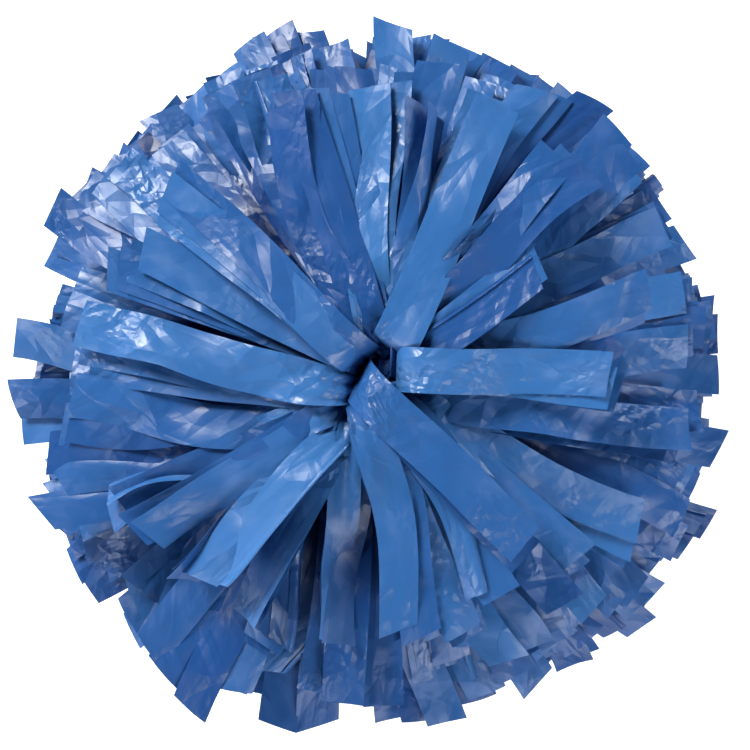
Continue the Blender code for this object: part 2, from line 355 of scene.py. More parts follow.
def floor_material():
    """Pale matt sweep."""
    graph = Graph("floor_finish")
    place = graph.out(graph.node("ShaderNodeTexCoord"), "Object")
    cloud = graph.noise(place, 2.0, 2.0).ramp(0.2, 0.8)
    base = graph.mix_colour(cloud, (0.86, 0.86, 0.86, 1.0), (0.88, 0.88, 0.88, 1.0))
    inputs = {"Base Color": base, "Roughness": 0.9, "Emission Color": base}
    inputs["Emission Strength"] = 0.70
    return graph.finish(graph.node("ShaderNodeBsdfPrincipled", None, inputs).outputs[0])


def repaint(name, material):
    """Give a CAD node a better material through its object's slots."""
    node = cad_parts[name]
    for mat_slot in node.material_slots:
        mat_slot.link = "OBJECT"
        mat_slot.material = material


# ---------------------------------------------------------------- streamers


def smooth(x):
    """Smooth step from 0 to 1 of an array."""
    x = np.clip(x, 0.0, 1.0)
    return x * x * (3.0 - 2.0 * x)


def unit(vectors):
    """Vectors of length one."""
    return vectors / np.maximum(np.linalg.norm(vectors, axis=-1, keepdims=True), 1e-9)


def triangle_wave(x):
    """Zigzag of period one between -1 and 1."""
    return 4.0 * np.abs((x + 0.25) % 1.0 - 0.5) - 1.0


class Batch:
    """Streamers that are worked out together. Each field is an array with one row a streamer.

    root, crest, tip: points of the centre line; a streamer goes straight from root to crest,
    rounds the crest within `bend` of it, and goes straight on to the tip.
    """

    FIELDS = (
        "root crest tip bend width sag wave_size wave_pace wave_phase twist twist_from bank wobble "
        "sway curl gather spread pleats pleat_phase crease crease_pace crease_turn crease_phase fold "
        "crumple tip_crush slant stack tone seed"
    ).split()

    def __init__(self):
        self.rows = []

    def add(self, **values):
        """Add one streamer."""
        self.rows.append(values)

    def arrays(self):
        """Every field as one array."""
        return {f: np.array([row[f] for row in self.rows], float) for f in self.FIELDS}


def centre_lines(a, stations):
    """Centre points (N, S, 3) at equal steps, and how far along each is (N, S)."""
    first = a["crest"] - a["root"]
    second = a["tip"] - a["crest"]
    l1 = np.linalg.norm(first, axis=1)[:, None]
    l2 = np.linalg.norm(second, axis=1)[:, None]
    u1, u2 = unit(first), unit(second)
    bend = np.minimum(a["bend"][:, None], 0.92 * np.minimum(l1, l2))
    along = np.linspace(0.0, 1.0, stations)[None, :] * (l1 + l2)
    start = a["crest"] - u1 * bend
    end = a["crest"] + u2 * bend
    t = ((along - (l1 - bend)) / (2.0 * bend))[..., None]
    arc = (1 - t) ** 2 * start[:, None] + 2 * t * (1 - t) * a["crest"][:, None] + t**2 * end[:, None]
    before = a["root"][:, None] + u1[:, None] * along[..., None]
    after = a["crest"][:, None] + u2[:, None] * (along - l1)[..., None]
    points = np.where(t < 0.0, before, np.where(t > 1.0, after, arc))
    past = np.clip(along - l1, 0.0, None)
    points[..., 2] -= a["sag"][:, None] * past**2
    return points, along, l1


def chance_folds(a, s, x):
    """Lift of a few straight folds at chance places and slants on each streamer.

    Beside its line each fold falls away as slope * reach * (1 - exp(-distance / reach)), so the
    line itself stays crisp and crossing folds leave three-sided facets between them.
    """
    count = len(a["seed"])
    rng = np.random.default_rng(count)
    lift = 0.0
    for _ in range(FOLDS):
        place = rng.uniform(*FOLD_PLACES, count)[:, None, None]
        slant = (rng.uniform(*FOLD_SLANTS, count) * rng.choice((-1.0, 1.0), count))[:, None, None]
        slope = (rng.normal(0.0, FOLD_SLOPE, count) * a["crumple"])[:, None, None]
        away = np.abs((s - place) * np.cos(slant) + x * np.sin(slant))
        lift = lift + slope * FOLD_REACH * (1.0 - np.exp(-away / FOLD_REACH))
    return lift


def streamer_points(a, stations, across):
    """Surface points (N, S, A, 3), film coordinates (N, S, A, 2) and how crumpled the film is.

    Round the centre line, each cross-section is a strip of the film's width, drawn in by zigzag
    pleats near the root, bent to a shallow arc, creased by slanting zigzags, folded over along
    one edge where `fold` is under one, and turned by the twist.
    """

    def col(key):
        return a[key][:, None, None]

    line, along, rise = centre_lines(a, stations)
    tangent = unit(np.gradient(line, axis=1))
    out = a["tip"] - a["crest"]
    side = unit(np.stack([-out[:, 1], out[:, 0], np.zeros(len(out))], axis=1))[:, None]
    side = unit(side - np.sum(side * tangent, axis=2, keepdims=True) * tangent)
    normal = np.cross(tangent, side)
    total = along[:, -1:]
    share = along / total
    turn = a["twist"][:, None] * smooth((share - a["twist_from"][:, None]) / 0.5)
    rolling = np.sin(along * 1.3 * a["wave_pace"][:, None] + 2.0 * a["wave_phase"][:, None])
    turn = turn + (a["bank"][:, None] + a["wobble"][:, None] * rolling) * smooth(along / WAVE_FADE)
    cos, sin = np.cos(turn)[..., None], np.sin(turn)[..., None]
    side, normal = cos * side + sin * normal, cos * normal - sin * side

    v = np.linspace(-1.0, 1.0, across)[None, None, :]
    half = col("width") / 2
    edge = col("fold")
    folded = v > edge
    flat = np.where(folded, 2 * edge - v, v)
    open_share = smooth(along / a["spread"][:, None])[..., None]
    drawn = col("gather") + (1.0 - col("gather")) * open_share
    period = 1.0 / col("pleats")
    pleat = triangle_wave(v / (2 * period) + col("pleat_phase"))
    pleat_size = half * period / 2 * np.sqrt(np.maximum(0.0, 1.0 - drawn**2))
    bow = np.sin(math.pi * share[..., None]) + 0.4 * np.sin(9.0 * share[..., None] + col("seed"))
    s = along[..., None]
    lateral = flat * half * drawn + col("sway") * bow * smooth(s / WAVE_FADE)
    turn_c, pace = col("crease_turn"), col("crease_pace")
    slanting = triangle_wave((s * np.cos(turn_c) + v * half * np.sin(turn_c)) * pace + col("crease_phase"))
    crossing = triangle_wave((s * np.sin(turn_c) - v * half * np.cos(turn_c)) * pace * 0.7 + col("seed"))
    fade = smooth(s / CREASE_FADE) * (0.6 + 0.4 * np.sin(s * 71.0 + col("seed") * 9.0))
    lift = pleat * pleat_size * (1.0 - 0.35 * open_share)
    lift = lift + col("crease") * (slanting + 0.7 * crossing) * fade
    lift = lift + chance_folds(a, s, v * half) * smooth(s / CREASE_FADE)
    flexed = smooth((s - rise[..., None] * 0.9) / 0.05)
    lift = lift - col("curl") * (flat * half) ** 2 * flexed
    wave = np.sin(s * col("wave_pace") + col("wave_phase"))
    lift = lift + col("wave_size") * wave * smooth(s / WAVE_FADE)
    lift = lift + np.where(folded, 0.0011 * smooth((v - edge) / 0.25), 0.0) * smooth(s / 0.02)
    lift = lift + col("stack") * (0.15 + 0.85 * smooth(s / 0.04))
    slip = s * col("slant") * flat
    points = (
        line[:, :, None]
        + side[:, :, None] * lateral[..., None]
        + normal[:, :, None] * lift[..., None]
        + tangent[:, :, None] * slip[..., None]
    )
    film = np.stack([s + 0 * v + col("seed"), v * half + 0 * s + col("seed") * 3.7], axis=-1)
    near = 1.0 - smooth((s - rise[..., None]) / 0.070)
    crush = col("crumple") * (0.42 + 0.68 * near) + 0.0 * v
    crush = crush + col("tip_crush") * smooth((share[..., None] - 0.72) / 0.2)
    return points, film, crush


def set_film(mesh, film, **values):
    """Give a mesh its film coordinates, one row a point, and its point attributes."""
    corners = np.empty(len(mesh.loops), np.int32)
    mesh.loops.foreach_get("vertex_index", corners)
    layer = mesh.uv_layers.new(name="film")
    layer.data.foreach_set("uv", film[corners].astype(np.float32).ravel())
    for key, value in values.items():
        attribute = mesh.attributes.new(key, "FLOAT", "POINT")
        attribute.data.foreach_set("value", value.astype(np.float32))


def film_piece(name, parts, material):
    """Put batches of streamers in one mesh.

    Each part is points, film coordinates, crush and tone (painted shade included), with a row for
    each streamer. A streamer is a grid of four-sided faces whose rim is marked sharp, so the film's cut
    edges stay crisp.
    """
    verts, faces, films, tones_and_shade, crushes, rims = [], [], [], [], [], []
    base = 0
    for points, film, crush, tone in parts:
        n, s, w = points.shape[:3]
        index = base + np.arange(n * s * w).reshape(n, s, w)
        quads = [index[:, :-1, :-1], index[:, 1:, :-1], index[:, 1:, 1:], index[:, :-1, 1:]]
        faces.append(np.stack(quads, axis=-1).reshape(-1, 4))
        verts.append(points.reshape(-1, 3))
        films.append(film.reshape(-1, 2))
        tones_and_shade.append(tone.reshape(-1))
        crushes.append(crush.reshape(-1))
        rows, cols = np.arange(s)[:, None], np.arange(w)[None, :]
        sides = 1 * (cols == 0) + 2 * (cols == w - 1) + 4 * (rows == 0) + 8 * (rows == s - 1)
        rims.append(np.tile(sides.ravel(), n))
        base += n * s * w
    verts, faces = np.concatenate(verts), np.concatenate(faces)
    mesh = bpy.data.meshes.new(name)
    mesh.vertices.add(len(verts))
    mesh.vertices.foreach_set("co", verts.astype(np.float32).ravel())
    mesh.loops.add(faces.size)
    mesh.loops.foreach_set("vertex_index", faces.astype(np.int32).ravel())
    mesh.polygons.add(len(faces))
    mesh.polygons.foreach_set("loop_start", np.arange(0, faces.size, 4, dtype=np.int32))
    mesh.update(calc_edges=True)
    set_film(mesh, np.concatenate(films), tone=np.concatenate(tones_and_shade), crush=np.concatenate(crushes))
    mesh.polygons.foreach_set("use_smooth", np.ones(len(faces), bool))
    ends = np.empty(len(mesh.edges) * 2, np.int32)
    mesh.edges.foreach_get("vertices", ends)
    on_rim = np.concatenate(rims)[ends].reshape(-1, 2)
    sharp = mesh.attributes.new("sharp_edge", "BOOLEAN", "EDGE")
    sharp.data.foreach_set("value", (on_rim[:, 0] & on_rim[:, 1]) > 0)
    mesh.materials.append(material)
    obj = bpy.data.objects.new(name, mesh)
    bpy.context.scene.collection.objects.link(obj)
    shell = obj.modifiers.new("film thickness", "SOLIDIFY")
    shell.thickness = FILM_THICKNESS
    shell.offset = 0.0
    return obj


# ---------------------------------------------------------------- the pom's form


class Half:
    """Where one half's streamers may lie. Heights are away from its neck, towards its pole."""

    def __init__(self, name):
        self.name = name
        low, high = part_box(name + "_film_neck")
        self.pole = 1.0 if name == "upper" else -1.0
        self.neck = high[2] if name == "upper" else low[2]
        self.neck_radius = high[0]
        self.lean = np.array((0.0064, 0.0045)) if name == "upper" else np.zeros(2)
        self.drift = np.array((-0.0010, -0.0040)) if name == "upper" else np.zeros(2)

    def outer(self, r):
        """Height of the outermost streamers at a distance from the baton.

        The upper half is a shallow dome whose edge falls away. The lower half is nearly flat, since
        the pom stands on it.
        """
        if self.pole > 0:
            return 0.055 - 0.40 * r**2 - 0.034 * smooth((r - 0.100) / 0.080)
        return 0.0560 - 0.030 * smooth((r - 0.115) / 0.060)

    def inner(self, r):
        """Height of the streamers next to the hand's space: they droop with distance squared."""
        return 0.010 - 1.65 * r**2

    def level(self, r, u):
        """Height at a share u of the way from the inner to the outer streamers."""
        return self.inner(r) + (self.outer(r) - self.inner(r)) * u

    def sunk(self, points):
        """How deep in the crown's gaps points in the row frame lie: 0 at its surface, 1 well below."""
        if self.pole < 0:
            return 0.0
        r = np.linalg.norm(points[..., :2] - self.lean, axis=-1)
        below = self.outer(r) - (points[..., 2] - self.neck)
        return smooth((below - 0.007) / 0.018) * (1.0 - smooth((r - 0.075) / 0.060))

    def shade(self, points, along, keep):
        """Share of its tone that film loses to painted shade, at its roots or for lying deep in the gaps.
        """
        roots = (1.0 - keep) * (1.0 - smooth((along - ROOT_SHADE) / ROOT_SHADE_FADE))
        return np.maximum(roots, self.sunk(points))

    def world(self, points, keep):
        """Points (height away from the neck) in the row frame, leaning to where the crown parts.

        The lean comes in with height. Away from the middle, only a share `keep` of it stays and
        the rest gives way to the drift of the long streamers.
        """
        out = points.copy()
        away = smooth(np.linalg.norm(points[..., :2], axis=-1) / 0.12)
        shift = smooth(points[..., 2] / 0.030) * (1.0 - (1.0 - keep) * away)
        out[..., :2] += self.lean * shift[..., None]
        out[..., :2] += self.drift * (away * (1.0 - keep))[..., None]
        out[..., 2] = self.neck + self.pole * points[..., 2]
        return out


def polar(radius, angle, height):
    """A point from its distance, direction and height."""
    return np.array((radius * math.cos(angle), radius * math.sin(angle), height))


def random_looks(rng, busy=1.0):
    """Creases, waves and the other small things that differ from streamer to streamer."""
    return {
        "wave_size": rng.uniform(0.0006, 0.0032) * busy,
        "bank": rng.normal(0.0, 0.12),
        "wobble": rng.uniform(0.04, 0.22) * busy,
        "sway": rng.normal(0.0, 0.0042),
        "wave_pace": rng.uniform(32.0, 75.0),
        "wave_phase": rng.uniform(0.0, 6.28),
        "curl": rng.normal(3.0, 10.0) * busy,
        "gather": rng.uniform(0.28, 0.45),
        "spread": rng.uniform(0.055, 0.105),
        "pleats": 1.5,
        "pleat_phase": rng.uniform(),
        "crumple": rng.uniform(0.3, 1.2) * busy,
        "tip_crush": rng.uniform(0.0, 0.60) ** 2,
        "crease": rng.uniform(0.0001, 0.0004) * busy,
        "crease_pace": rng.uniform(20.0, 40.0),
        "crease_turn": rng.uniform(-0.9, 0.9),
        "crease_phase": rng.uniform(),
        "slant": rng.normal(0.0, 0.012),
        "seed": rng.uniform(0.0, 10.0),
    }


# The streamers that show most. Each row: start x, y and tip x, y from where the crown parts, how
# far up it starts and ends (shares of the outer height), width share, twist (degrees), fold edge
# (1 is unfolded), layers under it, fan between layers (degrees) and step between tips (millimetres).
# The starts and tips are in units of FRONT_SCALE.
FRONT_STREAMERS = (
    (3, -7, 104, -8, 1.14, 1.12, 1.05, 2, 1.0, 2, -2.2, 3),
    (-15, -10, 65, -86, 1.10, 1.16, 1.08, 0, 1.0, 1, -3.0, 6),
    (-15, -22, 7, -128, 1.02, 1.05, 0.95, -4, 1.0, 2, 3.0, 4),
    (-22, -24, -51, -138, 0.94, 1.00, 1.00, 22, 0.45, 2, -4.0, 5),
    (-20, -15, -146, 17, 1.02, 1.06, 1.12, 6, 1.0, 2, 3.5, -5),
    (-9, 4, -106, 75, 1.10, 1.12, 0.98, -3, 1.0, 2, -3.5, 3),
    (-12, -1, -116, 52, 1.00, 1.00, 1.00, 5, 1.0, 3, 3.0, 4),
    (-6, 9, -28, 126, 1.02, 1.02, 1.00, 12, 0.7, 2, 4.0, 5),
    (-2, 10, -9, 129, 0.98, 1.00, 1.00, -8, 1.0, 3, -4.5, 6),
    (5, 5, 53, 121, 1.12, 1.10, 1.10, 8, 1.0, 1, 4.0, 5),
    (12, 6, 81, 96, 1.06, 1.08, 1.04, -6, 1.0, 2, -3.0, 4),
    (34, 16, 117, 93, 0.92, 1.02, 0.98, -14, 1.0, 2, 3.5, 4),
    (27, 5, 122, 26, 1.00, 1.05, 1.02, 38, 1.0, 1, 3.0, 4),
    (14, 4, 70, 42, 1.12, 1.14, 0.95, -8, 0.8, 1, 3.0, 6),
    (28, 12, 133, 62, 0.86, 0.96, 1.00, 6, 1.0, 3, 3.0, 3),
    (30, 2, 143, 33, 0.84, 0.92, 1.00, -4, 1.0, 3, -3.0, 4),
    (26, -6, 145, 6, 0.90, 0.94, 1.05, 6, 1.0, 2, 3.5, 5),
    (14, -17, 139, -39, 1.00, 1.03, 1.06, -3, 1.0, 2, 3.0, 5),
    (14, -20, 121, -77, 1.02, 1.02, 1.05, 4, 1.0, 2, -3.5, 4),
    (-4, -14, 92, -95, 0.96, 1.00, 1.00, 2, 1.0, 3, -3.0, 5),
    (-9, -18, 47, -110, 0.98, 1.02, 1.00, 28, 0.35, 2, 4.0, 5),
    (-4, -24, 62, -143, 0.84, 0.92, 1.00, 8, 1.0, 3, 3.5, 4),
    (-10, -24, 28, -130, 0.92, 0.98, 1.00, -18, 0.75, 2, 3.5, 5),
    (-24, -27, -156, -57, 0.92, 1.00, 1.02, 4, 1.0, 2, 3.0, 6),
    (-25, -20, -150, -20, 0.86, 0.92, 1.05, -4, 1.0, 3, 3.0, 5),
    (-26, -26, -114, -84, 1.00, 1.08, 1.02, -16, 1.0, 2, -4.0, 5),
    (-25, -28, -84, -104, 1.06, 1.12, 1.00, 40, 0.9, 1, -4.0, 6),
    (-24, -24, -132, -66, 0.90, 0.92, 0.90, 62, 1.0, 1, 4.0, 6),
    (-22, -28, -98, -98, 0.88, 0.90, 0.85, -66, 1.0, 1, 3.0, 5),
    (-20, -28, -66, -124, 0.96, 1.00, 0.95, 58, 1.0, 1, -3.0, 5),
    (-18, -26, -30, -134, 0.90, 0.92, 0.80, -58, 1.0, 1, 3.0, 5),
    (-26, -30, -110, -139, 0.84, 0.90, 1.00, -6, 1.0, 3, 4.0, 5),
    (-22, -32, -72, -158, 0.80, 0.86, 1.00, 10, 1.0, 3, -3.5, 4),
    (-16, -32, -29, -160, 0.80, 0.86, 1.00, -8, 1.0, 3, 4.0, 4),
    (-20, 8, -128, 96, 0.84, 0.92, 1.00, 4, 1.0, 3, 3.5, 5),
    (-14, 18, -84, 122, 0.86, 0.92, 1.02, -10, 1.0, 3, -4.0, 5),
    (-10, 20, -58, 134, 0.88, 0.94, 1.00, 14, 0.8, 2, 4.0, 5),
    (4, 20, 18, 134, 0.90, 0.94, 1.00, -16, 1.0, 3, 4.5, 5),
    (2, 12, 22, 118, 1.02, 1.00, 0.95, 64, 1.0, 1, 3.0, 4),
    (-6, 14, -40, 118, 0.94, 0.96, 0.90, -52, 1.0, 1, 3.0, 5),
    (12, 22, 74, 132, 0.84, 0.92, 1.02, 6, 1.0, 3, -4.0, 5),
    (30, -16, 140, -62, 0.86, 0.92, 1.00, 5, 1.0, 3, -3.0, 5),
    (18, -30, 102, -118, 0.84, 0.90, 1.00, -5, 1.0, 3, 3.0, 5),
)

# Metres for each unit of distance in the rows above.
FRONT_SCALE = 0.00094

# Single long streamers at the rim: direction (degrees), reach (millimetres) and level.
RIM_STREAMERS = (
    (86, 172, 0.30),
    (76, 167, 0.34),
    (175, 174, 0.26),
    (183, 172, 0.30),
    (188, 170, 0.20),
    (-11, 173, 0.32),
    (1, 168, 0.28),
    (255, 174, 0.24),
    (262, 171, 0.30),
    (232, 172, 0.30),
    (226, 170, 0.22),
    (282, 171, 0.26),
    (298, 170, 0.30),
    (318, 169, 0.24),
    (332, 170, 0.30),
    (24, 166, 0.30),
    (48, 162, 0.34),
    (110, 160, 0.30),
    (128, 164, 0.26),
    (146, 166, 0.30),
    (158, 168, 0.24),
    (206, 168, 0.32),
)


def share_of(value):
    """The value, kept from 0 to 1."""
    return min(1.0, max(0.0, value))


def front_batch(half):
    """The crown's chosen streamers and the layers that cling under each."""
    rng = np.random.default_rng(41)
    batch = Batch()
    width = settings().streamer_width
    for row in FRONT_STREAMERS:
        start, tip = np.array(row[0:2]) * FRONT_SCALE, np.array(row[2:4]) * FRONT_SCALE
        up, down, share, twist, fold, layers, fan, step = row[4:]
        heading = math.atan2(*(tip - start)[::-1])
        reach = float(np.linalg.norm(tip - start))
        r_start, r_tip = float(np.linalg.norm(start)), float(np.linalg.norm(tip))
        looks = random_looks(rng)
        tone = rng.uniform(0.45, 1.0)
        for layer in range(layers + 1):
            turn = heading + math.radians(fan) * layer * rng.uniform(0.7, 1.3)
            long = reach + step * layer * rng.uniform(0.3, 1.0) / 1000.0
            high = half.outer(r_start) * up - CREST_STEP * layer
            low = half.outer(r_tip) * down - TIP_STEP * layer
            crest = np.array((*start, high))
            end = np.array((*(start + long * np.array((math.cos(turn), math.sin(turn)))), low))
            inset = min(0.0085, 0.35 * r_start + 0.002)
            root = np.array((*(start / max(r_start, 1e-6) * inset), -ROOT_DEPTH))
            root[:2] -= 0.25 * half.lean
            own = dict(looks)
            own["bank"] *= 0.5
            own["seed"] = rng.uniform(0.0, 10.0)
            own["pleats"] = 2.5
            own["spread"] = 0.045 if up > 1.08 else own["spread"]
            # Layers under the front streamer get painted shade through a lower tone.
            batch.add(
                root=root,
                crest=crest,
                tip=end,
                bend=0.013 + 0.006 * rng.uniform() + 0.25 * r_start,
                width=width * (share if layer == 0 else 1.0),
                sag=0.25,
                twist=math.radians(twist) * (1.0 if layer == 0 else 0.6),
                twist_from=0.45,
                fold=fold if layer == 0 else 1.0,
                stack=-FRONT_STACK * layer,
                tone=share_of((tone + rng.normal(0.0, 0.12)) * (1.0 - LAYER_SHADE * layer)),
                **own,
            )
    return batch


def clump_batch(half, clumps, seed):
    """Clinging stacks of streamers at all levels.

    Directions and levels step by two ratios that fill a square evenly. A stack's level u runs
    from 0 next to the hand's space to 1 at the crown. It sets how far out a streamer crests, how
    far it reaches and how much painted shade it gets.
    """
    rng = np.random.default_rng(seed)
    batch = Batch()
    conf = settings()
    top = 0.55 if half.pole > 0 else 1.0
    for clump in range(clumps):
        angle = 2.0 * math.pi * (clump * STEP_ROUND % 1.0) + rng.normal(0.0, 0.05)
        u = top * ((clump * STEP_LEVEL + 0.37) % 1.0) ** 1.15
        u = min(top, max(0.0, u + rng.normal(0.0, 0.02)))
        members = int(rng.integers(2, 6))
        fan = math.radians(rng.uniform(0.8, 5.0)) * rng.choice((-1.0, 1.0))
        step = rng.uniform(0.0005, 0.0035)
        length = conf.streamer_length + 0.006 * (1.0 - u) + rng.normal(0.0, 0.004)
        looks = random_looks(rng)
        twist = math.radians(rng.normal(0.0, 9.0) if rng.uniform() < 0.75 else rng.normal(0.0, 38.0))
        # Stacks lower down get a lower tone, painted shade for lying deeper; the rest differs at random.
        tone = 0.27 + 0.55 * u * rng.uniform(0.6, 1.0) + rng.uniform(0.0, 0.30)
        r_crest = 0.007 + 0.042 * (1.0 - u) ** 1.2 * rng.uniform(0.8, 1.2)
        reach = 0.158 - 0.034 * u**1.5 + rng.normal(0.0, 0.003)
        for member in range(members):
            turn = angle + fan * (member - members / 2) * rng.uniform(0.7, 1.3)
            level = u - 0.008 * member
            crest = polar(r_crest, turn, half.level(r_crest + 0.020, level))
            aim = polar(reach, turn + rng.normal(0.0, 0.02), half.level(reach, level))
            root = polar(rng.uniform(0.002, half.neck_radius - 0.003), turn, -ROOT_DEPTH)
            left = length + step * member - float(np.linalg.norm(crest - root))
            tip = crest + unit(aim - crest) * max(left, 0.06)
            own = dict(looks)
            own["seed"] = rng.uniform(0.0, 10.0)
            own["crease_phase"] = rng.uniform()
            batch.add(
                root=root,
                crest=crest,
                tip=tip,
                bend=0.014 + 0.030 * (1.0 - u),
                width=conf.streamer_width * rng.uniform(0.97, 1.03),
                sag=0.4 if half.pole > 0 else 0.0,
                twist=min(TWIST_LIMIT, max(-TWIST_LIMIT, twist + math.radians(rng.normal(0.0, 4.0)))),
                twist_from=rng.uniform(0.3, 0.6),
                fold=rng.uniform(0.1, 0.8) if rng.uniform() < 0.15 else 1.0,
                stack=-CLUMP_STACK * member,
                tone=share_of(tone + rng.normal(0.0, 0.08)),
                **own,
            )
    return batch


def rim_batch(half):
    """Long, flat streamers whose square ends break the rim."""
    rng = np.random.default_rng(61)
    batch = Batch()
    for degrees, reach, u in RIM_STREAMERS:
        turn = math.radians(degrees)
        looks = random_looks(rng, 0.7)
        looks["bank"] *= 0.5
        crest = polar(0.034, turn, half.level(0.06, u))
        batch.add(
            root=polar(0.008, turn, -ROOT_DEPTH),
            crest=crest,
            tip=polar(0.97 * reach / 1000.0, turn + rng.normal(0.0, 0.01), half.level(0.150, u)),
            bend=0.030,
            width=settings().streamer_width,
            sag=0.3,
            twist=rng.normal(0.0, 0.08),
            twist_from=0.5,
            fold=1.0,
            stack=0.0,
            tone=rng.uniform(0.35, 0.85),
            **looks,
        )
    return batch


def sector_of(points):
    """Which sector each streamer's outer part lies in."""
    outer = points[:, -1].mean(axis=1)
    turn = np.arctan2(outer[:, 1], outer[:, 0]) / (2.0 * math.pi / SECTORS)
    return np.round(turn).astype(int) % SECTORS


def settle(half, points, rng):
    """Lay the lower half's streamers on the floor, each a little above the last."""
    if half.pole > 0:
        return points
    rest = rng.uniform(0.0008, 0.0050, len(points))[:, None, None]
    height = points[..., 2]
    points[..., 2] = np.where(height < rest, rest + 0.03 * (height - rest), height)
    return points


def build_half(half, batches, material):
    """One piece of streamers for each sector."""
    rng = np.random.default_rng(7)
    sets = []
    for batch, stations, across, keep in batches:
        a = batch.arrays()
        points, film, crush = streamer_points(a, stations, across)
        points = settle(half, half.world(points, keep), rng)
        along = film[..., 0] - a["seed"][:, None, None]
        # Painted shade: film at its roots and deep in the crown's gaps loses tone.
        tone = a["tone"][:, None, None] * (1.0 - half.shade(points, along, keep))
        sets.append((points, film, crush, tone, sector_of(points), a))
    for k in range(SECTORS):
        parts, width, length, count = [], 0.0, 0.0, 0
        for points, film, crush, tone, sector, a in sets:
            own = sector == k
            parts.append((points[own], film[own], crush[own], tone[own]))
            width += float(a["width"][own].sum())
            spans = np.linalg.norm(np.diff(points[own].mean(axis=2), axis=1), axis=2).sum(axis=1)
            length += float(spans.sum())
            count += int(own.sum())
        name = f"{half.name}_streamers_{k + 1}"
        piece = film_piece(name, parts, material)
        tufts = [f"{half.name}_{tier}_tuft_{k + 1}" for tier in TIERS[half.name]]
        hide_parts(*tufts)
        turn = 2.0 * math.pi * k / SECTORS
        anchor = polar(FLEX_START, turn, half.neck)
        polar(FLEX_END, turn, half.neck)
        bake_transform(piece)


def gathered_neck(half, material):
    """The film's spines, pleated round the end of the baton and drawn in under the tie.

    The radius at turn t and height h is the neck's radius, less the tie's groove, times one plus
    a sharp zigzag of pleats whose depth dies away under the tie.
    """
    low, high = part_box(half.name + "_film_neck")
    tie_low, tie_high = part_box(half.name + "_cable_tie")
    turns, rows = 180, 30
    t = np.linspace(0.0, 2.0 * math.pi, turns, endpoint=False)[None, :]
    h = np.linspace(low[2], high[2], rows)[:, None]
    tie = (tie_low[2] + tie_high[2]) / 2
    near = np.exp(-(((h - tie) / 0.0042) ** 6))
    radius = half.neck_radius - 0.0003 - 0.0013 * near
    pleat = triangle_wave(t * 23 / (2 * math.pi) + 0.6 * np.sin(h * 190.0)) * (0.035 - 0.028 * near)
    minor = triangle_wave(t * 61 / (2 * math.pi)) * 0.012
    radius = radius * (0.965 + pleat + minor)
    ends = np.minimum((h - low[2]) / 0.002, (high[2] - h) / 0.002)
    radius = radius * (0.90 + 0.10 * smooth(ends))
    verts = np.stack([radius * np.cos(t), radius * np.sin(t), h + 0 * t], axis=-1).reshape(-1, 3)
    index = np.arange(rows * turns).reshape(rows, turns)
    ahead = np.roll(index, -1, axis=1)
    quads = np.stack([index[:-1], ahead[:-1], ahead[1:], index[1:]], axis=-1).reshape(-1, 4)
    faces = [tuple(q) for q in quads.tolist()]
    faces += [tuple(index[0, ::-1].tolist()), tuple(index[-1].tolist())]
    mesh = bpy.data.meshes.new(half.name + "_gathered_neck")
    mesh.from_pydata(verts.tolist(), [], faces)
    angle = np.arctan2(verts[:, 1], verts[:, 0]) * half.neck_radius
    film = np.stack([verts[:, 2], angle], 1)
    # A low tone gives the necks painted shade.
    set_film(mesh, film, tone=np.full(len(verts), 0.3), crush=np.full(len(verts), 0.8))
    mesh.materials.append(material)
    neck = bpy.data.objects.new(half.name + "_gathered_neck", mesh)
    bpy.context.scene.collection.objects.link(neck)
    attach(neck, "handle")
    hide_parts(half.name + "_film_neck")


def pit_loops(half, material):
    """Crumpled loops of film standing in the middle of the crown.

    They step round by the golden angle, and outwards by the square root of their number.
    """
    rng = np.random.default_rng(19)
    batch = Batch()
    for index in range(PIT_LOOPS):
        turn = index * GOLDEN_ANGLE + rng.normal(0.0, 0.2)
        radius = 0.0008 + 0.0050 * math.sqrt((index + 0.5) / PIT_LOOPS)
        height = rng.uniform(0.041, 0.049)
        crest = polar(radius, turn, height)
        looks = random_looks(rng, 1.6)
        looks.update(gather=0.5, pleats=2.5, crease=0.0006, crease_pace=90.0)
        # Low tones give the pit film painted shade.
        batch.add(
            root=polar(radius * 0.6, turn + 2.6, -ROOT_DEPTH),
            crest=crest,
            tip=crest + polar(0.004, turn + rng.normal(0.0, 0.8), -0.034),
            bend=0.004,
            width=PIT_WIDTH,
            sag=0.0,
            twist=rng.normal(0.0, 0.5),
            twist_from=0.2,
            fold=0.6,
            stack=0.0,
            tone=rng.uniform(0.2, 0.7),
            **looks,
        )
    a = batch.arrays()
    points, film, crush = streamer_points(a, 36, 11)
    points = half.world(points, 1.0)
    name = half.name + "_pit_film"
    piece = film_piece(name, [(points, film, crush, a["tone"][:, None, None] + 0.0 * crush)], material)
    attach(piece, "handle")


# ---------------------------------------------------------------- stage


# Name, place, side (metres), power (watts) and colour of each light.
LIGHTS = (
    ("key", (-1.15, 1.3, 1.3), 0.7, 62.0, (1.0, 0.975, 0.93)),
    ("right", (1.6, 0.5, 0.85), 0.9, 14.0, (0.96, 0.98, 1.0)),
    ("front", (0.4, -1.6, 0.85), 0.9, 11.0, (1.0, 1.0, 1.0)),
    ("fill", (1.05, -1.15, 1.2), 0.6, 13.0, (1.0, 1.0, 1.0)),
    ("left", (-1.6, -0.8, 0.75), 0.8, 12.0, (1.0, 1.0, 1.0)),
)
LIGHT_AIM = (0.0, 0.0, 0.15)


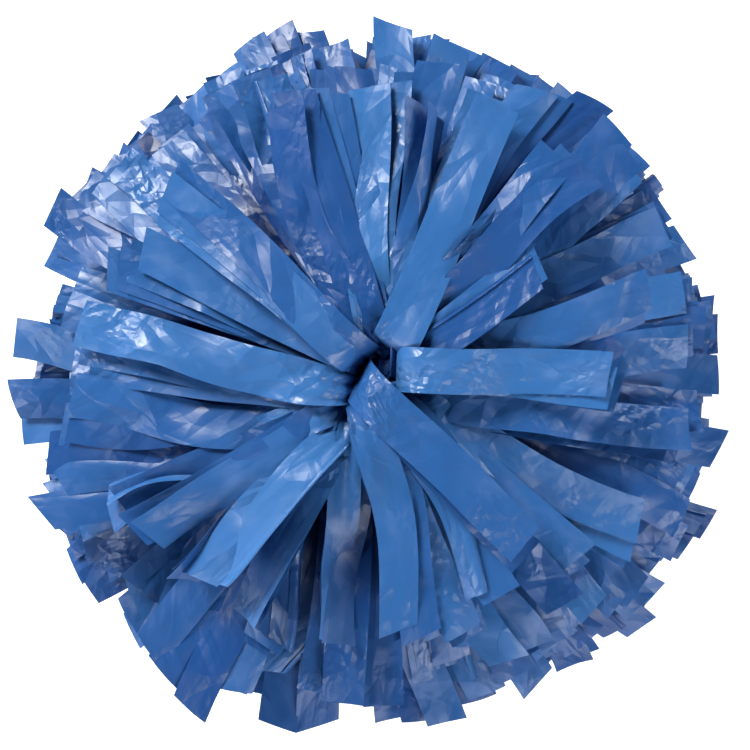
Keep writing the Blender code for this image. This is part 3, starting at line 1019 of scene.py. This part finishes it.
def add_light(name, location, size, power, colour):
    """A square soft light that faces the pom."""
    data = bpy.data.lights.new(name, "AREA")
    data.shape = "SQUARE"
    data.size = size
    data.energy = power
    data.color = colour
    light = bpy.data.objects.new(name, data)
    light.location = location
    aim = np.array(LIGHT_AIM) - np.array(location)
    bpy.context.scene.collection.objects.link(light)
    yaw = math.atan2(aim[1], aim[0])
    tilt = math.acos(-aim[2] / float(np.linalg.norm(aim)))
    light.rotation_euler = (tilt, 0.0, yaw - math.pi / 2)


def studio_world():
    """Studio with pale walls and a dim ceiling."""
    world = bpy.data.worlds.new("studio")
    world.use_nodes = True
    tree = world.node_tree
    place = tree.nodes.new("ShaderNodeTexCoord")
    split = tree.nodes.new("ShaderNodeSeparateXYZ")
    tree.links.new(place.outputs["Generated"], split.inputs[0])
    fall = tree.nodes.new("ShaderNodeMapRange")
    fall.interpolation_type = "SMOOTHSTEP"
    tree.links.new(split.outputs["Z"], fall.inputs["Value"])
    for key, value in (("From Min", 0.10), ("From Max", 0.65), ("To Min", 0.80), ("To Max", 0.05)):
        fall.inputs[key].default_value = value
    background = tree.nodes["Background"]
    background.inputs["Color"].default_value = (0.70, 0.84, 1.0, 1.0)
    tree.links.new(fall.outputs["Result"], background.inputs["Strength"])
    return world


def build_stage():
    """Floor, lights, world and camera."""
    scene = bpy.context.scene
    corners = [(-3, -3, 0), (3, -3, 0), (3, 3, 0), (-3, 3, 0)]
    mesh = bpy.data.meshes.new("floor")
    mesh.from_pydata(corners, [], [(0, 1, 2, 3)])
    mesh.materials.append(floor_material())
    floor = bpy.data.objects.new("floor", mesh)
    floor.location = (0.0, 0.0, -0.0002)
    scene.collection.objects.link(floor)
    for light in LIGHTS:
        add_light(*light)
    scene.world = studio_world()
    scene.view_settings.view_transform = "Standard"
    data = bpy.data.cameras.new("camera")
    data.sensor_width = 36.0
    data.lens = 121.0
    data.clip_end = 20.0
    camera = bpy.data.objects.new("camera", data)
    camera.location = (0.0012, -0.0026, 1.37)
    scene.collection.objects.link(camera)
    scene.camera = camera


# ---------------------------------------------------------------- add-on


class POMPOM_OT_handle(bpy.types.Operator):
    """Finish the baton's tube, grip, hand stops and cable ties"""

    bl_idname = "pompom.handle"
    bl_label = "Finish handle"

    def execute(self, context):
        grip = plastic_material("grip_finish", settings().grip_colour, 0.55, 900.0, 0.00012)
        stop = plastic_material("stop_finish", (0.66, 0.66, 0.65), 0.40, 700.0, 0.00004)
        core = plastic_material("core_finish", (0.60, 0.60, 0.58), 0.45, 500.0, 0.00003)
        tie = plastic_material("tie_finish", (0.62, 0.62, 0.58), 0.38, 600.0, 0.00003)
        repaint("grip_sleeve", grip)
        repaint("baton_core", core)
        for half in TIERS:
            repaint(half + "_hand_stop", stop)
            repaint(half + "_cable_tie", tie)
        return {"FINISHED"}


class POMPOM_OT_necks(bpy.types.Operator):
    """Make the gathered film necks and the crumpled film in the pit"""

    bl_idname = "pompom.necks"
    bl_label = "Make film necks"

    def execute(self, context):
        film = film_material()
        for name in TIERS:
            half = Half(name)
            gathered_neck(half, film)
        pit_loops(Half("upper"), film)
        return {"FINISHED"}


class POMPOM_OT_upper_streamers(bpy.types.Operator):
    """Make the upper half's streamers"""

    bl_idname = "pompom.upper_streamers"
    bl_label = "Make upper streamers"

    def execute(self, context):
        half = Half("upper")
        film = bpy.data.materials["blue_film_finish"]
        batches = [
            (front_batch(half), 80, 13, 1.0),
            (rim_batch(half), 30, 7, 0.0),
            (clump_batch(half, settings().upper_clumps, 5), 26, 7, 0.0),
        ]
        build_half(half, batches, film)
        return {"FINISHED"}


class POMPOM_OT_lower_streamers(bpy.types.Operator):
    """Make the lower half's streamers"""

    bl_idname = "pompom.lower_streamers"
    bl_label = "Make lower streamers"

    def execute(self, context):
        half = Half("lower")
        film = bpy.data.materials["blue_film_finish"]
        build_half(half, [(clump_batch(half, settings().lower_clumps, 23), 24, 7, 0.0)], film)
        return {"FINISHED"}


class POMPOM_OT_stage(bpy.types.Operator):
    """Make the floor, the lights and the camera"""

    bl_idname = "pompom.stage"
    bl_label = "Make stage"

    def execute(self, context):
        build_stage()
        return {"FINISHED"}


class POMPOM_PT_panel(bpy.types.Panel):
    """Settings and steps of the pom pom"""

    bl_idname = "POMPOM_PT_panel"
    bl_label = "Cheer Pom Pom"
    bl_space_type = "VIEW_3D"
    bl_region_type = "UI"
    bl_category = "Pom Pom"

    def draw(self, context):
        layout = self.layout
        conf = context.scene.pom_pom
        for key in PomPomSettings.__annotations__:
            layout.prop(conf, key)
        for step in STEPS:
            layout.operator(step.bl_idname)


STEPS = (
    POMPOM_OT_handle,
    POMPOM_OT_necks,
    POMPOM_OT_upper_streamers,
    POMPOM_OT_lower_streamers,
    POMPOM_OT_stage,
)
CLASSES = (PomPomSettings, *STEPS, POMPOM_PT_panel)


def register():
    """Register the add-on's classes and settings."""
    for cls in CLASSES:
        bpy.utils.register_class(cls)
    bpy.types.Scene.pom_pom = PointerProperty(type=PomPomSettings)


def unregister():
    """Remove the add-on's classes and settings."""
    del bpy.types.Scene.pom_pom
    for cls in reversed(CLASSES):
        bpy.utils.unregister_class(cls)


def main():
    """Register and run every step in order."""
    register()
    bpy.ops.pompom.handle()
    bpy.ops.pompom.necks()
    bpy.ops.pompom.upper_streamers()
    bpy.ops.pompom.lower_streamers()
    bpy.ops.pompom.stage()


if __name__ == "__main__":
    main()
